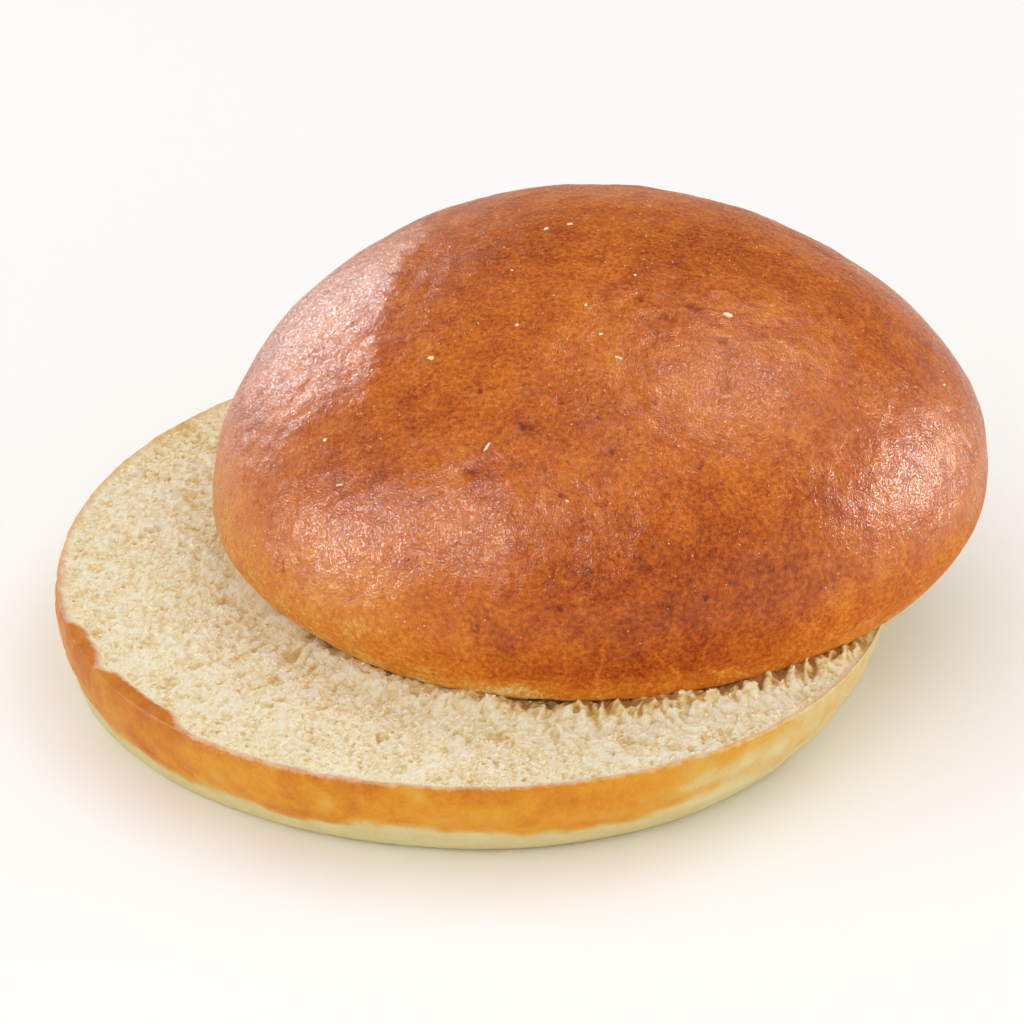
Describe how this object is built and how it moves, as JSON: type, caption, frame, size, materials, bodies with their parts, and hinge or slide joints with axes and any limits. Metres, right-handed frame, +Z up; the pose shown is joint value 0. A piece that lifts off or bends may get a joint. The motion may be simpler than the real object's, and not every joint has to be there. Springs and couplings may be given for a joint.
{
  "type": "bread roll",
  "caption": "Soft round bread roll sliced through, its domed glossy crown resting cut side down on its flat heel, set back to show the crumb.",
  "frame": {"origin": "on the heel's flat foot, straight below the centre of its cut face", "axes": "+Z up through both halves, -Y to the side where most of the cut crumb shows in front, +X to the right"},
  "size_m": [0.1189, 0.1148, 0.0522],
  "materials": {
    "heel": "matte cream crumb above a golden crust",
    "crown": "satin egg-washed brown crust"
  },
  "bodies": {
    "root": {"heel": "heel", "crown": "crown"}
  },
  "joints": []
}
